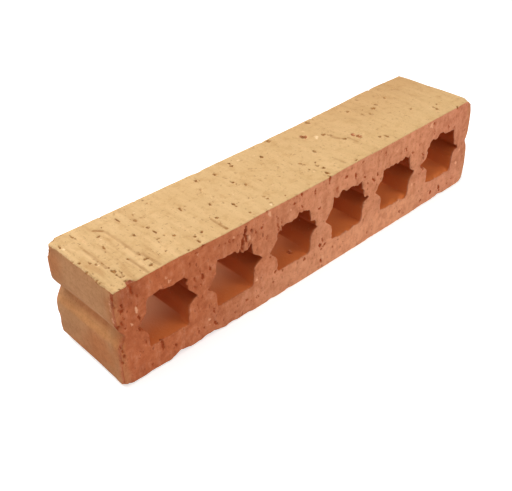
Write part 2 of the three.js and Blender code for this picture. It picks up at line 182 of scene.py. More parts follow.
# --- marks on the cut front face, which lean as the wire went where no other lean is given
WIRE_LEAN = 15
AGAINST_WIRE = Quaternion(Y, math.radians(WIRE_LEAN))
WireMark = namedtuple("WireMark", Mark._fields, defaults=(WIRE_LEAN,))
FRONT_PITS = [WireMark(*row) for row in [
    (-115.5, 49.2, 5, 1.5, 0.92, -2), (-117.8, 49.3, 1.9, 1.5, 0.52), (-113.2, 45.4, 3.1, 1.4, 0.77),
    (-121, 43.8, 1.8, 1.2, 0.92), (-122.8, 43, 1.5, 1.2, 0.52), (-120.8, 32, 1.9, 1.4, 0.62),
    (-113.9, 39.9, 1.5, 1.2, 0.72), (-113.4, 33.6, 4.2, 1.6, 1), (-113.6, 27, 4.3, 1.6, 1, 24),
    (-123.2, 17.6, 2.8, 1.2, 0.57), (-111.3, 18.2, 2.5, 1.4, 0.72), (-115, 14.9, 1.6, 1.1, 0.62),
    (-103, 11.5, 6.9, 1.9, 1, 8), (-95.8, 6.5, 2.4, 1.4, 0.82), (-84.5, 46.3, 2.1, 1.2, 0.72),
    (-109.6, 4, 2.2, 1.5, 0.52), (-82.4, 36.8, 4.1, 1.4, 0.62), (-79.2, 40, 2.2, 1.4, 0.62),
    (-77.9, 36.1, 5.2, 1.8, 1, 10), (-73.2, 38.4, 3.1, 1.4, 0.82), (-82.4, 32.2, 2.4, 1.5, 0.62),
    (-79, 32.5, 2.4, 1.5, 0.62), (-80.2, 50.5, 1.3, 1.8, 0.72), (-76.5, 52.2, 1.5, 2.1, 0.92),
    (-79, 25.4, 1.9, 1.5, 0.72), (-81.2, 20.9, 3.5, 1.2, 0.52), (-78.3, 18.4, 2.4, 2, 0.47),
    (-72.4, 13.6, 4.1, 1.9, 0.72), (-82.3, 6.4, 5.6, 1.4, 0.62), (-78.8, 6.4, 2.5, 1.5, 0.62),
    (-72.1, 5.8, 4.5, 1.9, 0.87, 30), (-45, 44.1, 2.6, 1.4, 0.82), (-64, 47.3, 1.8, 1.5, 0.52),
    (-61.4, 47.2, 3.6, 1.5, 0.67), (-59.2, 46.6, 1.9, 1.6, 0.62), (-56.4, 47.8, 1.8, 1.5, 0.47),
    (-52, 7.5, 2.6, 2.4, 0.62), (-44.8, 6, 2.4, 2.6, 0.82, 30), (-59.7, 4.4, 2.4, 1.5, 0.47),
    (-41, 44.6, 1.8, 2, 1), (-40.4, 46, 1.7, 1.2, 0.52), (-37.6, 52, 1.7, 1.5, 0.62),
    (-31, 44.9, 1.6, 2, 0.62), (-30.9, 41.6, 5, 1.4, 0.57, 2), (-28.2, 43.1, 2.4, 1.4, 0.67),
    (-28.5, 41.2, 2.6, 1.4, 0.82, 34), (-37.8, 37.4, 3.5, 2.8, 0.57), (-42.8, 39, 1.9, 2.1, 0.42),
    (-36.2, 25.2, 1.8, 1.9, 0.62), (-19.5, 48.2, 1.9, 1.8, 0.82), (-14.7, 51.3, 2.3, 1.4, 0.87),
    (-17.9, 51.6, 1.9, 1.8, 0.47), (-5.1, 48.4, 4.5, 1.4, 0.72, 3), (-14.1, 44.3, 3.2, 1.2, 0.72),
    (-1.9, 37.3, 1.6, 3.4, 0.87, 24), (-32.7, 14.3, 2.6, 2, 0.62), (-27.6, 13, 2.4, 1.8, 0.57, 34),
    (-12.1, 11.5, 2.4, 2.2, 0.67), (-17.4, 12, 2.2, 2.8, 0.42), (-34, 8.9, 2.3, 1.5, 0.77, 28),
    (-0.4, 14.4, 3.7, 1.9, 1, 24), (1, 17, 4.2, 1.6, 0.62, 2), (2.7, 13.2, 1.5, 3.1, 1, 30),
    (0.5, 11.6, 2.2, 2, 0.52), (0.6, 3.9, 4, 1.8, 0.97), (5.4, 51.6, 3.9, 1.9, 0.92, 2),
    (5.2, 49, 1.7, 1.2, 0.52), (17.7, 47.1, 2.4, 2.2, 0.72), (14.3, 48.9, 1.7, 1.9, 0.42),
    (25, 45.2, 3.5, 1.8, 0.92, 8), (30.2, 50.3, 1.4, 2.4, 0.62, 24), (32.3, 41.1, 2.1, 1.9, 0.72, 30),
    (11.2, 43.4, 2.4, 2.8, 0.47), (35.4, 36.1, 1.8, 1.6, 0.72), (39.8, 36.5, 4.3, 1.6, 0.87, 24),
    (42.9, 38.4, 3.7, 1.5, 0.82, 20), (13.3, 11.5, 1.9, 1.8, 0.47), (9.3, 8.6, 2.4, 1.6, 0.52, 34),
    (17.7, 7.9, 1.7, 1.8, 0.42), (37.3, 3.7, 2.2, 2.5, 0.77, 30), (48.6, 48.3, 2.9, 2, 0.72),
    (66.2, 44, 3.2, 1.5, 0.57, 28), (62.2, 44, 1.7, 1.6, 0.42), (72.6, 39.2, 3.7, 2, 0.67),
    (78.4, 42.4, 2.6, 2.8, 0.42), (82, 34.3, 4.1, 1.8, 0.77, 52), (82.3, 25.4, 4.2, 1.9, 0.92, 34),
    (79.6, 23, 1.9, 1.9, 0.47), (76, 17.4, 2.8, 2, 0.52, 28), (65.4, 4.6, 3, 2.4, 0.77),
    (69, 2.2, 1.9, 2, 0.62), (84.4, 3.4, 2.4, 2.4, 0.77, 30), (84.6, 7.6, 1.7, 1.8, 0.42),
    (89.6, 50.4, 2.4, 1.9, 0.67), (90.4, 45, 4, 1.6, 0.62, 10), (102.8, 44.2, 3.2, 1.6, 0.52),
    (107.4, 46.5, 1.7, 1.9, 0.42), (109.6, 41.6, 1.7, 2.5, 0.47), (93.3, 4.9, 2.8, 2.2, 0.82),
    (114.2, 5.5, 1.9, 2.1, 0.52), (101.4, 4.6, 7.1, 2, 0.97, 24), (109.8, 3.6, 2.4, 1.8, 0.52),
    (121.8, 17.2, 2.4, 2, 0.52), (-124.8, 50.6, 3.4, 1.3, 0.7, 4), (-124.6, 45.4, 2.6, 1.3, 0.6, 8),
    (-123.8, 47.6, 4.2, 1.1, 0.35, 12), (-121.4, 41.6, 3.4, 2.4, 1, 10), (-121, 44.6, 2.2, 1.5, 0.7),
    (-120.9, 38, 3.4, 1.4, 0.5), (-122.1, 35.2, 3.6, 1.5, 0.8), (-124, 34.3, 3, 1.6, 0.95),
    (-124.4, 23.4, 2.6, 1.6, 0.9), (-123.7, 20.8, 2.4, 1.5, 0.8), (-123.3, 17.4, 2.6, 1.3, 0.6),
    (-124.4, 14.6, 2.6, 1.3, 0.7), (-115.7, 52.2, 3.4, 1.7, 0.9, -6), (-123.2, 12.2, 1.8, 1.2, 0.4),
    (-124.3, 31.2, 2.2, 1.3, 0.5), (-117, 46.2, 2, 1.3, 0.35), (-111.8, 46.2, 2, 1.3, 0.3),
    (-105.5, 47.6, 1.8, 1.4, 0.25), (-92.6, 48.8, 2.2, 1.3, 0.3), (-70.4, 44.2, 2, 1.3, 0.25),
    (-68.2, 9.6, 2.2, 1.5, 0.25), (-89.2, 11, 2, 1.4, 0.3), (-31.4, 46.4, 2.2, 1.3, 0.45, 34),
]]
FRONT_GASHES = [Mark(*row) for row in [
    (-51.3, 48.4, 4.6, 1.8, 1, -4), (-52, 46, 3.4, 1.7, 1), (-53.4, 43.4, 5.4, 1.8, 1, -36),
    (-50.7, 44.2, 2.4, 1.8, 0.9), (-47.6, 46, 3.4, 1.7, 0.7, 10), (-55.2, 41.4, 2.4, 1.7, 1),
]]
FRONT_PALE_SPECKS = [WireMark(*row) for row in [
    (-114.4, 38.1, 3.8, 1.7, 1, 6), (-117.6, 32.3, 2.3, 1.4, 0.7), (-97.6, 46.2, 2.3, 1.8, 0.45),
    (-96, 43.8, 2.3, 2, 0.6), (-79.7, 49, 2.5, 2, 0.5), (-75.8, 9.8, 2.9, 1.5, 0.9),
    (-75.8, 7, 1.9, 1.3, 0.5), (-58.8, 48.1, 1.9, 2, 0.55), (-49.2, 43.6, 2.9, 2.2, 0.7),
    (-47.2, 42, 2.1, 2.6, 0.45), (-45.2, 16.6, 3.4, 2, 1), (-36.1, 50.3, 3.6, 2, 1),
    (-22, 46.1, 2.3, 1.5, 0.55), (1.5, 5.9, 2.9, 2, 0.9, 34), (73.5, 18.5, 2.5, 2.1, 0.9, 34),
    (47.8, 8.2, 2.3, 2.4, 0.35), (58.2, 46.2, 1.7, 2.4, 0.55), (86.8, 50.2, 3.4, 2.9, 0.95),
    (115.7, 15.8, 3.4, 2.2, 0.85), (117.5, 23.4, 2.3, 2.2, 0.7), (19.2, 4.2, 2.7, 1.8, 0.35),
]]

# --- marks on the floor of a core and on the near end
CORE_BED_DRAGS = [Mark(-15.5, -17.3, 5, 1.9, 0.6)]
# A low ridge beside the drag, coloured pale as a painted highlight along it
CORE_BED_RIDGES = [Mark(-14.1, -17.3, 4, 1.6, 0.4)]
NEAR_END_PALE_SPECKS = [Mark(*row) for row in [
    (-22.6, 45, 8, 1.8, 0.45), (-23, 37, 5, 1.8, 0.5), (-22.4, 31, 4, 2.2, 0.4),
    (-21.6, 26, 5, 2.6, 0.5, 60), (-24, 10.4, 1.6, 1.6, 0.7), (-23.8, 18, 4, 1.4, 0.4),
    (13.4, 26, 1.8, 2.6, 0.5), (9.8, 23.6, 2.6, 2, 0.3), (2, 9.4, 1.6, 1.6, 0.25),
]]

# --- clay pulled along by the wire
# A tug moves the clay round a point on a face: its reach, how far it goes up the face, sideways and out of
# it, and how deep under the face the pull is felt
Tug = namedtuple("Tug", "across along reach up sideways out depth", defaults=(0, 0, 2.4))
FRONT_TUGS = [Tug(*row) for row in [
    # first core: a torn corner at its upper left, and one burr
    (-102.2, 41.6, 1.7, 1, -0.2), (-95, 41.5, 2.6, -0.5), (-88.4, 41.6, 1.8, 0.4, 0.3),
    (-87.2, 37.2, 1.5, 0, -0.6), (-86.9, 39.6, 1.4, 0, 0.5),
    # second core: a wide torn burr at the upper right
    (-66.6, 41.5, 2.2, -0.5), (-63.6, 41.5, 2.8, -0.9), (-60.6, 41.5, 1.9, -1), (-58.3, 41.5, 1.6, -0.6),
    (-55.6, 41.4, 2.6, -2.6, 0.2), (-51.8, 41.4, 2.7, -3.5), (-48.6, 41.4, 1.7, -1.2),
    # third core: the upper left corner hangs down, and the right notch is torn upwards
    (-30.6, 40.2, 2.4, -1.9, 0.9), (-28.2, 41.4, 2.2, -1.6), (-25.6, 41.5, 1.6, -0.9),
    (-22.6, 41.5, 2.6, -1.5), (-19.2, 41.5, 2.2, -1.3), (-16.4, 41.5, 1.5, 1.5), (-12.8, 41.6, 2.2, 0.6),
    (-10.2, 41.4, 1.7, -0.3, 0.3), (-5.4, 30.9, 2.4, 1.1, 0.9), (-8.4, 35.2, 2, -1.5, 0.3),
    # fourth core
    (11.8, 41.4, 2.1, -2.6), (9.2, 40.8, 1.5, -0.9, -0.4), (19, 41.5, 2.6, -1.7), (22.8, 41.5, 1.9, -1.1),
    (26.2, 41.4, 2.6, -2.1), (29.4, 41.4, 1.8, -1.2), (31, 32.8, 1.5, 0, 1), (33.6, 30.8, 1.7, -1.9),
    (31.7, 30.2, 1.4, 0, -1.7), (35.2, 27.8, 1.4, -0.5, 0.8), (15.4, 14.5, 3.6, -0.8),
    (19.4, 14.5, 1.2, 0.5), (22.2, 14.5, 2, -0.9), (25.4, 14.6, 1.3, 0.7),
    # fifth core: its whole upper rim hangs
    (49.6, 41.4, 2.8, -1.7), (53.4, 41.4, 3, -1.9), (57.4, 41.4, 3, -1.9), (62, 41.4, 3.2, -2.4),
    (66.4, 41.4, 2.4, -1.4), (69.2, 41.2, 1.8, -1.9), (44.6, 31.4, 2, 1.1, -0.3),
    (72.3, 31.4, 2, -1.8, -0.3), (74.6, 28.2, 1.2, 0, -0.8), (52.5, 14.5, 3, -0.8), (60, 14.5, 5, -1.2),
    (68, 14.5, 3, -1.8), (75, 28, 1.3, 0, -0.9),
    # sixth core: a bite in the upper rim, and its left notch torn long
    (88.6, 41.5, 2.2, -0.4), (92.6, 41.4, 2.2, -1.3), (97, 41.6, 2.6, 1.2), (102.6, 41.4, 3, -1.2),
    (111.5, 31.4, 2, -1.8, -0.3), (106.6, 41.4, 2.6, -1), (80.6, 28.6, 2.4, 0.5, -2.2),
    (86, 35.2, 3, 0, -1.5), (93, 14.5, 4.6, -1.3), (101, 14.5, 5, -1.6), (108, 14.4, 3, -1.3),
]]
# The body is not quite straight: broad tugs that swell or sink its faces
Swelling = namedtuple("Swelling", "across along reach out depth sideways up", defaults=(0, 0))
SWELLINGS = [
    (TOP, [
        (78, 0, 48, 0.55, 14), (-97, 0, 14, 0.15, 14), (25, -25, 18, 0.5, 10), (-60, -25, 14, -0.3, 8),
        (-124, -25, 15, -0.7, 9), (-92, -25, 9, 0.35, 7), (120, -22, 7, 0.5, 6),
        (123, -25, 3.4, -0.8, 3.5, -0.5, 0.2),
    ]),
    (BACK, [
        (92, 52, 20, 0.6, 8), (-38, 53, 3, -0.5, 2.4), (6, 53, 2, -0.5, 2.4),
    ]),
    (NEAR_END, [
        (22, 35, 6, 0.3, 5, 0, -1.3), (20, 41, 6, 0.4, 6), (20, 19, 8, 0.4, 6), (25, 11, 3.4, -0.2, 4, -0.4),
        (-22, 0.6, 4.5, 0.9, 5, 0, -0.5), (-15, 0.6, 4.5, 0.6, 5, 0, -0.4), (-8, 0.6, 4.5, 0.4, 5, 0, -0.3),
        (2, 0.6, 7, 0.2, 5), (12, 0.6, 7, 0.2, 5), (-25, 28.5, 6, 1.6, 4), (25, 49.5, 2.6, -0.4, 3),
        (21.5, 53, 3.2, 0.55, 3, 0, 0.2), (22, 26.5, 5, 0.7, 5),
    ]),
    (FRONT, [
        (100, 28, 26, 0, 90, 1.5), (71, 21, 7, 0, 14, 0.7), (31.6, 21, 7, 0, 14, 0.7),
        (-7.6, 21, 7, 0, 120, 1.3), (-46.8, 21, 7, 0, 120, 1), (-42, 29, 4, 0, 14, 1, 0.4),
        (-85.8, 21, 7, 0, 120, 1.1),
        # where the wire pushed the right wall of a core back in, and under its notch
        (-86.2, 19, 8, 0, 9, -1.7), (-84.2, 25.4, 3.2, 0, 6, -1.5, 0.5), (-47, 19, 8, 0, 9, -0.7),
        (-45, 25.2, 3.2, 0, 6, -1.3, 0.5), (-7.8, 19, 8, 0, 9, -1.1), (-5.8, 25, 3.2, 0, 6, -1.3, 0.5),
        (33.2, 25, 3.2, 0, 6, -1.2, 0.5), (114.6, 29, 3.2, 0, 8, 0.4, -1.7),
    ]),
    (FAR_END, [
        (-18, 13, 14, 0.9, 8), (-24, 28, 6.5, 1.6, 7), (-10, 53, 12, 0.7, 6, 0, 0.2),
        (-25, 51, 3.2, -0.7, 4), (25, 53, 5.5, -1.2, 4, -0.3, -0.5), (25, 53, 2, -1.1, 3, -0.9, -0.2),
        (26, 30, 12, -0.5, 3, -0.4),
    ]),
]

# --- clay broken off the long edges
# Height of the loss at each place along the edge
FRONT_LOWER_LOSS = [
    (-125, 3), (-123, 1.5), (-120, 0.45), (-114, 0.35), (-111, 0.8), (-105, 0.6), (-99, 0.4), (-96, 1.6),
    (-93, 3), (-90, 2.2), (-87, 1.3), (-81, 1.5), (-78, 2.2), (-72, 2.2), (-69, 1), (-66, 0.5), (-63, 1.2),
    (-57, 0.6), (-51, 0.8), (-48, 0), (-39, 0), (-36, 0.7), (-33, 0), (-30, 0), (-26, 0), (-24, 0.6),
    (-21, 0), (36, 0), (39, 0.4), (45, 0.2), (60, 0.1), (66, 0.2), (72, 0), (78, 0.1), (84, 0.4), (93, 0.2),
    (99, 0.4), (102, 1.2), (105, 0.2), (108, 0), (117, 0), (120, 0.1), (125, 0.8),
]
BACK_LOWER_LOSS = [
    (-125, 1.2), (-119, 0.3), (-107, 0.2), (-102, 1.4), (-97, 1.8), (-91, 0.8), (-84, 0.1), (-60, 0.2),
    (-54, 1.2), (-49, 0.3), (-20, 0), (-16, 0.8), (-9, 2.6), (-3, 1.9), (3, 0.4), (20, 0.1), (45, 0.2),
    (51, 1.4), (57, 0.4), (80, 0), (89, 0.7), (95, 2.3), (102, 1.5), (105, 0.2), (118, 0.3), (125, 1.8),
]
FRONT_UPPER_LOSS = [(-118.4, 0), (-117.4, 1), (-115.4, 3.2), (-113.8, 2.3), (-112.8, 0.7), (-112, 0)]
BACK_UPPER_LOSS = [(-125, 7.2), (-123.6, 5.2), (-122, 2.4), (-120, 0)]

# --- finishes, each of them a value from 0 to 1 at every point of the mesh
FINISHES = "buff skin bore ashen scorched hollow pale torn flushed golden scratched".split()
# The textures that the finishes share
Grains = namedtuple("Grains", "clouds mottle fine edge streaks pocks lines")
SHADE = "MULTIPLY"

# Tints of the end skin, redder where it fired so, with painted shade at the groove's root and a painted
# highlight on its lower flank: finish, middle, reach along the depth, reach upwards, strength
Flush = namedtuple("Flush", "finish across along wide high strength")
END_TINTS = [Flush(*row) for row in [
    # the row at 26.9 is painted shade at the groove's root, and the row at 22.9 a painted highlight on its
    # lower flank, which faces up
    ("flushed", -9, 12, 18, 13, 0.75), ("flushed", -3, 26.9, 24, 3.4, 0.6), ("flushed", 20, 44, 8, 10, 0.55),
    ("flushed", -22, 28, 6, 30, 0.6), ("flushed", -2, 3, 26, 4, 0.6), ("golden", 0, 22.9, 32, 3.2, 0.9),
]]


# --- small helpers
def smooth(low, high, value):
    """0 at low, 1 at high, and an S curve between."""
    share = min(1.0, max(0.0, (value - low) / (high - low)))
    return share * share * (3 - 2 * share)


def wobble(place, size, seed=0.0):
    """Smooth noise from -1 to 1 with lumps of about this size in millimetres."""
    return noise.noise(place / (size * MM) + Vector((seed, 2 * seed, 3 * seed)))


def on_face(face, across, along):
    """A point on a face, in metres."""
    return (face.origin + face.across * across + face.along * along) * MM


def between(pairs, value):
    """The height at this place, read between the pairs of place and height."""
    for (low, first), (high, second) in zip(pairs, pairs[1:]):
        if value <= high:
            return first + (second - first) * smooth(low, high, value)
    return pairs[-1][1]


def lift(across):
    """How far the bow lifts the body at this place along the brick."""
    return BOW * (across / HALF_LENGTH) ** 2


def dimmed(marks, share):
    return [mark._replace(dark=mark.dark * share) for mark in marks]


# --- the body
def everything(mesh):
    return mesh.verts[:] + mesh.edges[:] + mesh.faces[:]


def cut_across(mesh, axis, places):
    """Cuts the mesh with planes square to an axis."""
    for place in places:
        bmesh.ops.bisect_plane(mesh, geom=everything(mesh), dist=1e-6, plane_co=axis * place, plane_no=axis)


def even_places(low, high, step):
    count = round((high - low) / step)
    return [low + (high - low) * index / count for index in range(1, count)]


def die_section(node):
    """The flat section that the die gives the clay, taken from the middle of the CAD brick."""
    mesh = bmesh.new()
    mesh.from_mesh(node.data)
    bmesh.ops.remove_doubles(mesh, verts=mesh.verts, dist=0.001 * MM)
    bmesh.ops.bisect_plane(
        mesh, geom=everything(mesh), dist=1e-7, plane_co=(0, 0, 0), plane_no=Y,
        clear_outer=True, clear_inner=True,
    )
    bmesh.ops.triangle_fill(mesh, edges=mesh.edges[:], use_beauty=True, normal=-Y)
    return mesh


def is_slanted(edge):
    first, second = (vert.co for vert in edge.verts)
    return abs(first.x - second.x) > 1e-6 and abs(first.z - second.z) > 1e-6


def divide_section(mesh):
    """Divides the section into square cells, with a narrow band along every rim."""
    cut_across(mesh, Z, even_places(LOW.z, HIGH.z, CELL * MM))
    cut_across(mesh, X, even_places(LOW.x, HIGH.x, CELL * MM))
    slanted = [edge for edge in mesh.edges if len(edge.link_faces) == 2 and is_slanted(edge)]
    bmesh.ops.dissolve_edges(mesh, edges=slanted, use_verts=False)
    spare = [
        vert for vert in mesh.verts
        if len(vert.link_edges) == 2 and not any(edge.is_boundary for edge in vert.link_edges)
    ]
    bmesh.ops.dissolve_verts(mesh, verts=spare)
    bmesh.ops.remove_doubles(mesh, verts=mesh.verts, dist=0.35 * MM)
    bmesh.ops.inset_region(
        mesh, faces=mesh.faces[:], thickness=RIM * MM, use_boundary=True, use_even_offset=True,
    )


def push_through_die(mesh):
    """Pushes the section along the depth and cuts the long walls, for the relief."""
    bmesh.ops.translate(mesh, verts=mesh.verts, vec=(0, LOW.y, 0))
    pushed = bmesh.ops.extrude_face_region(mesh, geom=mesh.faces[:])["geom"]
    moved = [item for item in pushed if isinstance(item, bmesh.types.BMVert)]
    bmesh.ops.translate(mesh, verts=moved, vec=(0, HIGH.y - LOW.y, 0))
    cut_across(mesh, Y, [LOW.y + depth * MM for depth in DEPTH_CUTS])
    cut_across(mesh, Y, [HIGH.y - depth * MM for depth in DEPTH_CUTS])
    bmesh.ops.recalc_face_normals(mesh, faces=mesh.faces[:])


def refine(mesh, wanted, longest):
    """Halves the wanted edges until none is longer than this, in millimetres."""
    for _ in range(MOST_HALVINGS):
        long_edges = [
            edge for edge in mesh.edges
            if edge.calc_length() > longest * MM and wanted(edge.verts[0].co, edge.verts[1].co)
        ]
        if not long_edges:
            return
        bmesh.ops.subdivide_edges(mesh, edges=long_edges, cuts=1, use_grid_fill=True)
        bmesh.ops.triangulate(mesh, faces=[face for face in mesh.faces if len(face.verts) > 4])


def cube_of(place):
    return tuple(math.floor(value / (BUSY_CUBE * MM)) for value in place)


def busy_cubes(spots):
    """The small cubes of space round spots, each given as face, across, along and reach."""
    cubes = set()
    for face, across, along, reach in spots:
        steps = math.ceil(2 * reach / BUSY_CUBE)
        offsets = [-reach + 2 * reach * step / steps for step in range(steps + 1)]
        for sideways in offsets:
            for upwards in offsets:
                for level in (-1.2, -0.6, 0, 0.6):
                    spot = on_face(face, across + sideways, along + upwards) + face.out * level * MM
                    cubes.add(cube_of(spot))
    return cubes


def refine_at(mesh, spots, longest):
    cubes = busy_cubes(spots)
    refine(mesh, lambda first, second: cube_of(first.lerp(second, 0.5)) in cubes, longest)


def bend(mesh):
    """Lifts the ends by the bow."""
    for vert in mesh.verts:
        vert.co.z += lift(vert.co.x / MM) * MM


class Clay:
    """The clay at work: where each point lay, how far it is moved, and its finish."""

    def __init__(self, mesh):
        mesh.normal_update()
        self.rest = [vert.co.copy() for vert in mesh.verts]
        self.out = [vert.normal.copy() for vert in mesh.verts]
        self.move = [Vector((0, 0, 0)) for _ in mesh.verts]
        self.finish = {name: [0.0] * len(self.rest) for name in FINISHES}
        self.tree = KDTree(len(self.rest))
        for index, place in enumerate(self.rest):
            self.tree.insert(place, index)
        self.tree.balance()

    def near(self, centre, reach):
        """The points within reach of a centre: each one's index, its place, and the way to it."""
        found = self.tree.find_range(centre, reach * MM)
        return [(index, place, place - centre) for place, index, _ in found]

    def strengthen(self, name, index, value):
        self.finish[name][index] = max(self.finish[name][index], value)

    def press(self, face, mark, deep, name, ragged):
        """Presses a hollow into a face. A deep below 0 raises a lump."""
        centre = on_face(face, mark.across, mark.along)
        turn = math.radians(mark.lean)
        along = face.along * math.cos(turn) - face.across * math.sin(turn)
        across = face.across * math.cos(turn) + face.along * math.sin(turn)
        for index, place, away in self.near(centre, max(mark.length, mark.width) * 0.75 + 1):
            level = abs(away.dot(face.out)) / MM
            ends = away.dot(along) / (mark.length / 2 * MM)
            sides = away.dot(across) / (mark.width / 2 * MM)
            share = math.hypot(ends, sides) + ragged * wobble(place, 1.0, mark.across)
            strength = smooth(1.25, 0.4, share) * mark.dark * (1 - smooth(1.4, 2.6, level))
            self.move[index] -= face.out * deep * strength * MM
            self.strengthen(name, index, strength)

    def scratch(self, face, scratch, deep):
        """Drags a narrow furrow along a line of points."""
        done = self.finish["scratched"]
        for start, end in zip(scratch.points, scratch.points[1:]):
            first = on_face(face, *start)
            line = on_face(face, *end) - first
            reach = line.length / MM / 2 + scratch.width + 1
            for index, place, _ in self.near(first + line / 2, reach):
                share = min(1.0, max(0.0, (place - first).dot(line) / line.length_squared))
                gap = place - first - line * share
                away = (gap - face.out * gap.dot(face.out)).length / (scratch.width / 2 * MM)
                away += 0.3 * wobble(place, 2.5, 5)
                strength = smooth(1.2, 0.3, away) * scratch.dark * (0.95 + 0.35 * wobble(place, 3, 9))
                if strength > done[index]:
                    self.move[index] -= face.out * deep * (strength - done[index]) * MM
                    done[index] = strength

    def tug(self, face, tug, torn=1.0):
        """Drags the clay round a point of a face, less with the distance and the depth."""
        centre = on_face(face, tug.across, tug.along)
        push = (face.across * tug.sideways + face.along * tug.up + face.out * tug.out) * MM
        for index, place, away in self.near(centre, max(tug.reach * 1.3, tug.depth)):
            inward = away.dot(face.out) / (tug.depth * MM)
            sideways = (away - face.out * away.dot(face.out)).length / (tug.reach * 1.3 * MM)
            sideways += 0.22 * torn * wobble(place, 1.4, tug.across)
            share = 1 - smooth(0.25, 1.0, math.hypot(sideways, inward))
            self.move[index] += push * share
            self.strengthen("torn", index, torn * share * min(1.0, push.length / (1.5 * MM)))

    def lose_edge(self, face, cap, losses, slope=1.25, hollow=1.2):
        """Takes off the long edge between a cut face and the top or the underside. The slope is how far the
        loss goes into the clay for its height; with a hollow below 1 it is scooped out, above 1 it bulges."""
        level = HEIGHT if cap.out.z > 0 else 0
        for index, rest in enumerate(self.rest):
            place = rest + self.move[index]
            ragged = 0.25 * wobble(Vector((place.x, 0, 0)), 1.6, face.out.y)
            high = between(losses, place.x / MM) + ragged
            if high < 0.1:
                continue
            deep = high * slope
            bowed = place / MM - Z * lift(place.x / MM)
            inward = 1 + (bowed - face.origin).dot(face.out) / deep
            upward = 1 + (bowed.z - level) * cap.out.z / high
            if inward <= 0 or upward <= 0:
                continue
            over = (inward ** hollow + upward ** hollow) ** (1 / hollow)
            if over > 1:
                kept = 1 - 1 / over
                self.move[index] -= (cap.out * high * upward + face.out * deep * inward) * kept * MM
                self.strengthen("torn", index, min(1.0, kept * high))


def find_finishes(clay):
    """Buff engobe on the outer faces, die skin on the ends, and the drier skin of the core walls. Inside the
    cores it paints shade high up and deep in, a pale sheen of light deep along the floors, and a highlight
    along the floors' rims.
    """
    finish = clay.finish
    skin = finish["skin"]
    for index, (place, out) in enumerate(zip(clay.rest, clay.out)):
        x, y, z = place / MM
        if z > HEIGHT - 5 or z < 5:
            edge = 0.5 + 0.16 * wobble(place, 2.2, 3) + 0.10 * wobble(place, 0.8, 4)
            finish["buff"][index] = smooth(edge - 0.08, edge + 0.08, abs(out.z))
        ragged = 1.2 * wobble(place, 5, 7) + 0.7 * wobble(place, 1.6, 8)
        from_cut = HALF_DEPTH - abs(y)
        from_front = HALF_DEPTH + y
        height = z - lift(x)
        if abs(out.y) > 0.9:
            skin[index] = 0.5 * smooth(HALF_LENGTH - 4.5, HALF_LENGTH - 0.8, abs(x) + ragged)
        elif abs(x) > HALF_LENGTH - END_BAND and y > 0:
            skin[index] = smooth(-0.6, 0.9, from_cut + 0.4 * ragged)
        elif abs(x) > HALF_LENGTH - END_BAND:
            skin[index] = smooth(0.8, 3.2, from_cut + ragged)
        elif CORE_FLOOR - 1 < height < CORE_ROOF + 1:
            finish["bore"][index] = smooth(0, 0.9, from_cut + 0.3 * ragged)
            if height >= CORE_FLOOR + 0.5:
                # painted shade: the walls and roof darker high up and deeper in from the front
                finish["scorched"][index] = max(smooth(14, 38, height), smooth(10, 32, from_front))
            else:
                # painted light: a paler, greyer sheen deep along the floor, as of light through the back
                # mouth, strongest in the cores nearest the near end
                finish["ashen"][index] = smooth(3, 24, from_front + 1.5 * ragged) * smooth(45, -100, x)
                # painted highlight: a pale line along the floor's rim at each mouth
                finish["pale"][index] = 0.3 * smooth(0.7, 0.1, from_cut)


def tint_ends(clay):
    """Tints the skin of the ends where it fired redder, and paints shade and a highlight along the groove."""
    for face in (NEAR_END, FAR_END):
        for end_tint in END_TINTS:
            centre = on_face(face, end_tint.across, end_tint.along)
            for index, place, away in clay.near(centre, max(end_tint.wide, end_tint.high) * 1.2):
                share = math.hypot(away.y / (end_tint.wide * MM), away.z / (end_tint.high * MM))
                share += 0.3 * wobble(place, 7, 11)
                clay.strengthen(end_tint.finish, index, end_tint.strength * smooth(1.1, 0.3, share))


def relief_height(out, torn, place):
    """Drag furrows on the cut faces, drawn lines on the die faces, and loose torn clay."""
    cut = smooth(0.5, 0.9, abs(out.y))
    straight = AGAINST_WIRE @ place
    dragged = Vector((straight.x, straight.y, straight.z * 0.28))
    drawn = Vector((place.x, place.y * 0.12, place.z))
    furrows = 0.07 * wobble(dragged, 1.7, 1) + 0.05 * wobble(place, 1.5, 12) + 0.12 * wobble(place, 6, 2)
    lines = 0.03 * wobble(drawn, 1.6, 3) + 0.09 * wobble(drawn, 9, 4)
    lumps = 0.34 * wobble(place, 1.3, 5) + 0.22 * wobble(place, 0.7, 6)
    return cut * furrows + (1 - cut) * lines + torn * lumps


def roughen(clay):
    """Relief all over, the near end's uneven upper lip, and the jagged rims of the cores."""
    for place, out, torn, move in zip(clay.rest, clay.out, clay.finish["torn"], clay.move):
        x, y, z = place / MM
        move += out * relief_height(out, torn, place) * MM
        lip = smooth(HALF_LENGTH - 3, HALF_LENGTH - 0.5, -x) * smooth(HEIGHT - 4, HEIGHT - 1, z)
        if lip > 0:
            sheet = Vector((0, place.y, 0))
            move.x -= 0.5 * lip * (wobble(sheet, 6, 15) + 0.7 * wobble(sheet, 2.2, 16)) * MM
            move.z += 0.3 * lip * wobble(sheet, 5, 17) * MM
        rim = smooth(2.2, 0.3, HALF_DEPTH - abs(y)) * smooth(117, 112, abs(x))
        rim *= smooth(CORE_FLOOR - 3, CORE_FLOOR - 1.5, z) * smooth(CORE_ROOF + 3, CORE_ROOF + 1.5, z)
        if rim > 0:
            coarse = Vector((wobble(place, 1.7, 13), 0, wobble(place, 1.7, 14)))
            fine = Vector((wobble(place, 0.9, 18), 0, wobble(place, 0.9, 19)))
            move += (0.42 * coarse + 0.26 * fine) * rim * MM


